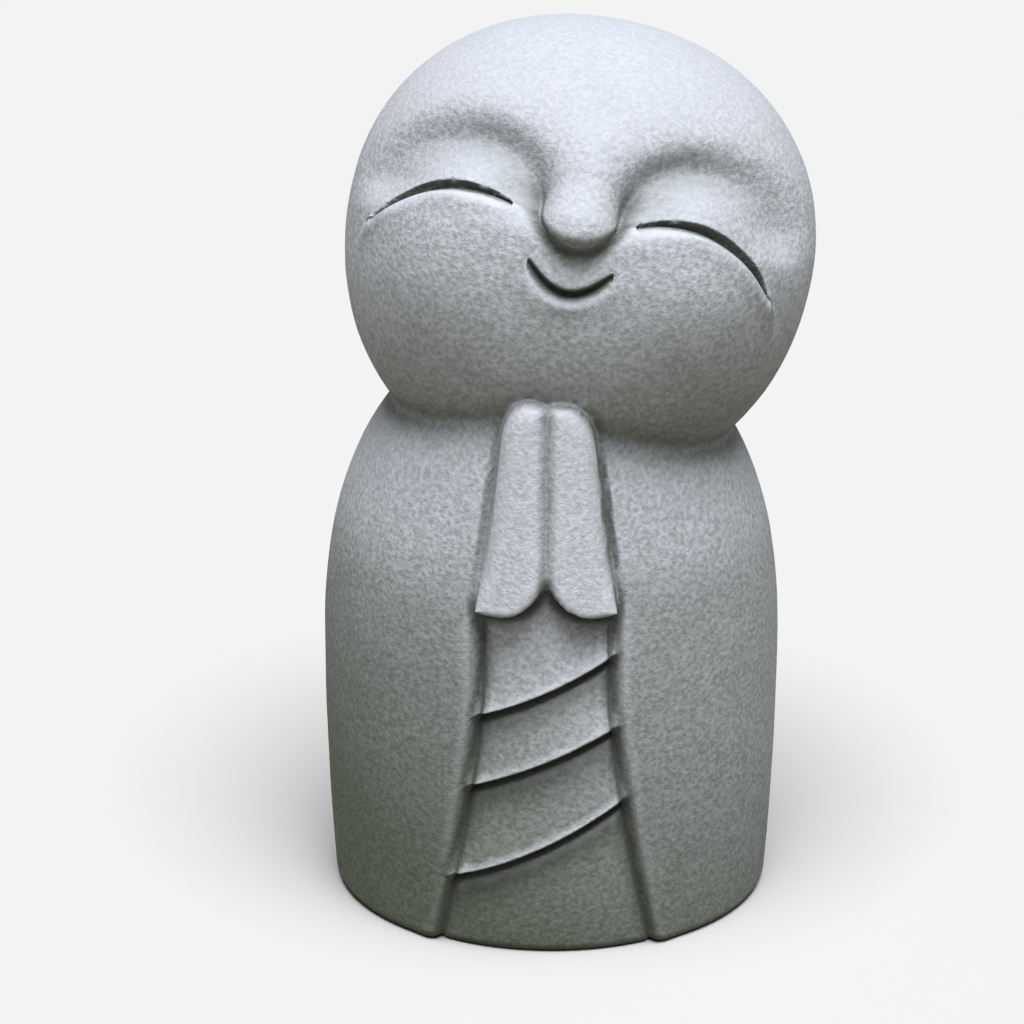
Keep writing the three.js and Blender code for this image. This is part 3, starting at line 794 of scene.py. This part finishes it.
def stoneSkinTree(material):
    tree = bpy.data.node_groups.new("stoneSkin", "GeometryNodeTree")
    tree.interface.new_socket("Geometry", in_out="INPUT", socket_type="NodeSocketGeometry")
    for name in ("Broad height", "Broad size", "Fine height", "Fine size", "Seed"):
        tree.interface.new_socket(name, in_out="INPUT", socket_type="NodeSocketFloat")
    tree.interface.new_socket("Geometry", in_out="OUTPUT", socket_type="NodeSocketGeometry")
    nodes, links = tree.nodes, tree.links
    given = nodes.new("NodeGroupInput")
    position = nodes.new("GeometryNodeInputPosition")
    normal = nodes.new("GeometryNodeInputNormal")

    def math2(operation, *values):
        node = nodes.new("ShaderNodeMath")
        node.operation = operation
        for socket, value in zip(node.inputs, values):
            if isinstance(value, (int, float)):
                socket.default_value = value
            else:
                links.new(value, socket)
        return node.outputs[0]

    def ripple(size, height):
        noise = nodes.new("ShaderNodeTexNoise")
        noise.noise_dimensions = "4D"
        links.new(position.outputs[0], noise.inputs["Vector"])
        links.new(given.outputs["Seed"], noise.inputs["W"])
        links.new(math2("DIVIDE", 1, given.outputs[size]), noise.inputs["Scale"])
        noise.inputs["Detail"].default_value = unevenness["detail"]
        bothWays = math2("MULTIPLY_ADD", noise.outputs[0], 2, -1)
        return math2("MULTIPLY", bothWays, given.outputs[height])

    parts = nodes.new("ShaderNodeSeparateXYZ")
    links.new(position.outputs[0], parts.inputs[0])
    aboveFloor = nodes.new("ShaderNodeMapRange")
    links.new(parts.outputs["Z"], aboveFloor.inputs["Value"])
    aboveFloor.inputs["From Min"].default_value = unevenness["startsAt"]
    aboveFloor.inputs["From Max"].default_value = unevenness["fullAt"]
    height = math2("ADD", ripple("Broad size", "Broad height"), ripple("Fine size", "Fine height"))
    height = math2("MULTIPLY", height, aboveFloor.outputs[0])
    push = nodes.new("ShaderNodeVectorMath")
    push.operation = "SCALE"
    links.new(normal.outputs[0], push.inputs[0])
    links.new(height, push.inputs["Scale"])
    move = nodes.new("GeometryNodeSetPosition")
    links.new(given.outputs["Geometry"], move.inputs["Geometry"])
    links.new(push.outputs[0], move.inputs["Offset"])
    realize = nodes.new("GeometryNodeRealizeInstances")
    links.new(move.outputs[0], realize.inputs[0])
    dress = nodes.new("GeometryNodeSetMaterial")
    dress.inputs["Material"].default_value = material
    links.new(realize.outputs[0], dress.inputs["Geometry"])
    result = nodes.new("NodeGroupOutput")
    links.new(dress.outputs[0], result.inputs[0])
    return tree


def finished(piece, tree, values):
    modifier = piece.modifiers.new(tree.name, "NODES")
    modifier.node_group = tree
    for name, value in values.items():
        setInput(modifier, tree, name, value)
    bpy.context.view_layer.update()
    evaluated = piece.evaluated_get(bpy.context.evaluated_depsgraph_get())
    mesh = bpy.data.meshes.new_from_object(evaluated)
    piece.modifiers.remove(modifier)
    piece.data = mesh
    return piece


def grainGroup():
    group = bpy.data.node_groups.new("stoneGrain", "ShaderNodeTree")
    group.interface.new_socket("Vector", in_out="INPUT", socket_type="NodeSocketVector")
    group.interface.new_socket("Grain size", in_out="INPUT", socket_type="NodeSocketFloat")
    group.interface.new_socket("Mottle size", in_out="INPUT", socket_type="NodeSocketFloat")
    group.interface.new_socket("Grain", in_out="OUTPUT", socket_type="NodeSocketFloat")
    group.interface.new_socket("Mottle", in_out="OUTPUT", socket_type="NodeSocketFloat")
    nodes, links = group.nodes, group.links
    given = nodes.new("NodeGroupInput")
    result = nodes.new("NodeGroupOutput")
    detail = 3
    for size, output, roughness in (("Grain size", "Grain", 0.62), ("Mottle size", "Mottle", 0.5)):
        scale = nodes.new("ShaderNodeMath")
        scale.operation = "DIVIDE"
        scale.inputs[0].default_value = 1
        links.new(given.outputs[size], scale.inputs[1])
        noise = nodes.new("ShaderNodeTexNoise")
        noise.inputs["Detail"].default_value = detail
        noise.inputs["Roughness"].default_value = roughness
        links.new(given.outputs["Vector"], noise.inputs["Vector"])
        links.new(scale.outputs[0], noise.inputs["Scale"])
        links.new(noise.outputs[0], result.inputs[output])
    return group


def stoneMaterial():
    material = bpy.data.materials.new("greyStone")
    material.use_nodes = True
    nodes, links = material.node_tree.nodes, material.node_tree.links
    shader = nodes["Principled BSDF"]
    place = nodes.new("ShaderNodeTexCoord")
    grain = nodes.new("ShaderNodeGroup")
    grain.node_tree = grainGroup()
    links.new(place.outputs["Object"], grain.inputs["Vector"])
    grain.inputs["Grain size"].default_value = stone["grainSize"]
    grain.inputs["Mottle size"].default_value = stone["mottleSize"]

    def mapped(value, given, result=(0, 1)):
        node = nodes.new("ShaderNodeMapRange")
        links.new(value, node.inputs["Value"])
        for name, number in zip(("From Min", "From Max", "To Min", "To Max"), (*given, *result)):
            node.inputs[name].default_value = number
        return node.outputs[0]

    def attributeOf(name):
        node = nodes.new("ShaderNodeAttribute")
        node.attribute_name = name
        return node.outputs["Fac"]

    def mixed(blendType, factor, first, second):
        node = nodes.new("ShaderNodeMix")
        node.data_type = "RGBA"
        node.blend_type = blendType
        for socket, value in ((node.inputs[0], factor), (node.inputs[6], first), (node.inputs[7], second)):
            if hasattr(value, "is_output"):
                links.new(value, socket)
            elif isinstance(value, float):
                socket.default_value = value
            else:
                socket.default_value = (*value, 1)
        return node.outputs[2]

    facingUp = attributeOf("facingUp")
    colour = mixed("MIX", mapped(grain.outputs["Grain"], stone["grainRange"]), stone["dark"], stone["pale"])
    mottle = mapped(grain.outputs["Mottle"], stone["mottleRange"], (stone["mottleShare"], 0))
    colour = mixed("MULTIPLY", mottle, colour, stone["mottleTint"])
    # painted highlight on the stone that faces up
    paintedTopLight = mapped(facingUp, stone["paintedTopLightRange"], (0, stone["paintedTopLightShare"]))
    colour = mixed("MIX", paintedTopLight, colour, stone["paintedTopLight"])
    parts = nodes.new("ShaderNodeSeparateXYZ")
    links.new(place.outputs["Object"], parts.inputs[0])
    lean = nodes.new("ShaderNodeMath")
    lean.operation = "MULTIPLY_ADD"
    links.new(parts.outputs["X"], lean.inputs[0])
    lean.inputs[1].default_value = -stone["footTintLean"]
    links.new(parts.outputs["Z"], lean.inputs[2])
    towardFoot = mapped(lean.outputs[0], (stone["footTintTop"], stone["footTintBottom"]))
    colour = mixed("MULTIPLY", towardFoot, colour, stone["footTint"])
    colour = mixed("MULTIPLY", attributeOf("low"), colour, stone["robeTint"])
    # painted shade below the lips, under the brows and at the neck
    colour = mixed("MULTIPLY", attributeOf("paintedShade"), colour, stone["paintedShadeTint"])
    # wear and painted highlight on the hands
    handsWearAndHighlight = mapped(attributeOf("handsWearAndHighlight"), (0, 1), (0, stone["handsWearAndHighlightShare"]))
    colour = mixed("MIX", handsWearAndHighlight, colour, stone["wornAndHighlightTint"])
    # painted shade on stone that faces down
    colour = mixed("MULTIPLY", mapped(facingUp, stone["underShadeRange"]), colour, stone["underShadeTint"])
    # wear and painted highlight on edges that stand proud
    wornAndHighlight = mapped(attributeOf("proud"), stone["proudRange"], (0, stone["wornAndHighlightShare"]))
    colour = mixed("MIX", wornAndHighlight, colour, stone["wornAndHighlightTint"])
    # dirt and painted shade in the hollows
    colour = mixed("MIX", attributeOf("hollow"), colour, stone["hollowDirtAndShadeTint"])
    links.new(colour, shader.inputs["Base Color"])
    shader.inputs["Roughness"].default_value = stone["roughness"]
    shader.inputs["Specular IOR Level"].default_value = stone["specular"]
    bump = nodes.new("ShaderNodeBump")
    bump.inputs["Strength"].default_value = 1
    bump.inputs["Distance"].default_value = stone["bump"]
    links.new(grain.outputs["Grain"], bump.inputs["Height"])
    links.new(bump.outputs[0], shader.inputs["Normal"])
    return material


greyStone = stoneMaterial()
statue = bpy.data.objects.new("jizoStatue", statueMesh())
bpy.context.collection.objects.link(statue)
finished(statue, stoneSkinTree(greyStone), {
    "Broad height": unevenness["broad"],
    "Broad size": unevenness["broadSize"],
    "Fine height": unevenness["fine"],
    "Fine size": unevenness["fineSize"],
    "Seed": unevenness["seed"],
})
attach(statue, "root")
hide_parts("jizo_statue")
print("statue done, faces", len(statue.data.polygons))

# The floor and the light

studio = {
    "floor": (0.47, 0.45, 0.41),
    "floorReach": 3.0,
    "floorRoughness": 0.9,
    "world": (0.9, 0.97, 1.0),
    "worldStrength": 0.12,
    "keyElevation": 74,                 # degrees, and the bearing from the front towards +X
    "keyBearing": 12,
    "keySpread": 40,
    "keyColour": (0.94, 0.98, 1.08),
    "keyStrength": 6.25,
}


# The way from the statue to a place at a bearing from its front towards +X and a rise, in degrees
def fromFront(bearing, elevation):
    bearing, elevation = math.radians(bearing), math.radians(elevation)
    return Vector((math.sin(bearing) * math.cos(elevation), -math.cos(bearing) * math.cos(elevation),
                   math.sin(elevation)))


def makeFloor():
    reach = studio["floorReach"]
    corners = [(-reach, -reach, 0), (reach, -reach, 0), (reach, reach, 0), (-reach, reach, 0)]
    mesh = bpy.data.meshes.new("floor")
    mesh.from_pydata(corners, [], [(0, 1, 2, 3)])
    material = bpy.data.materials.new("paleFloor")
    material.use_nodes = True
    shader = material.node_tree.nodes["Principled BSDF"]
    shader.inputs["Base Color"].default_value = (*studio["floor"], 1)
    shader.inputs["Roughness"].default_value = studio["floorRoughness"]
    mesh.materials.append(material)
    floor = bpy.data.objects.new("floor", mesh)
    bpy.context.collection.objects.link(floor)


def makeLight():
    world = bpy.data.worlds.new("studio")
    world.use_nodes = True
    background = world.node_tree.nodes["Background"]
    background.inputs["Color"].default_value = (*studio["world"], 1)
    background.inputs["Strength"].default_value = studio["worldStrength"]
    bpy.context.scene.world = world
    light = bpy.data.lights.new("keyLight", "SUN")
    light.angle = math.radians(studio["keySpread"])
    light.color = studio["keyColour"]
    light.energy = studio["keyStrength"]
    key = bpy.data.objects.new("keyLight", light)
    toward = fromFront(studio["keyBearing"], studio["keyElevation"])
    key.rotation_euler = toward.to_track_quat("Z", "Y").to_euler()
    bpy.context.collection.objects.link(key)
    bpy.context.scene.view_settings.view_transform = "Standard"


makeFloor()
makeLight()
print("floor and light done")

# The camera looks down on the statue from the front

camera = {
    "azimuth": 2.0,
    "elevation": 20.5,
    "distance": 0.340,
    "aim": (-0.0037, 0, 0.03625),
    "lens": 127.7,
    "sensor": 36,
    "clipStart": 0.01,
}


def makeCamera():
    toward = fromFront(camera["azimuth"], camera["elevation"])
    lens = bpy.data.cameras.new("camera")
    lens.lens = camera["lens"]
    lens.sensor_width = camera["sensor"]
    lens.clip_start = camera["clipStart"]
    view = bpy.data.objects.new("camera", lens)
    view.location = Vector(camera["aim"]) + toward * camera["distance"]
    view.rotation_euler = (-toward).to_track_quat("-Z", "Y").to_euler()
    bpy.context.collection.objects.link(view)
    bpy.context.scene.camera = view


makeCamera()
print("camera done")
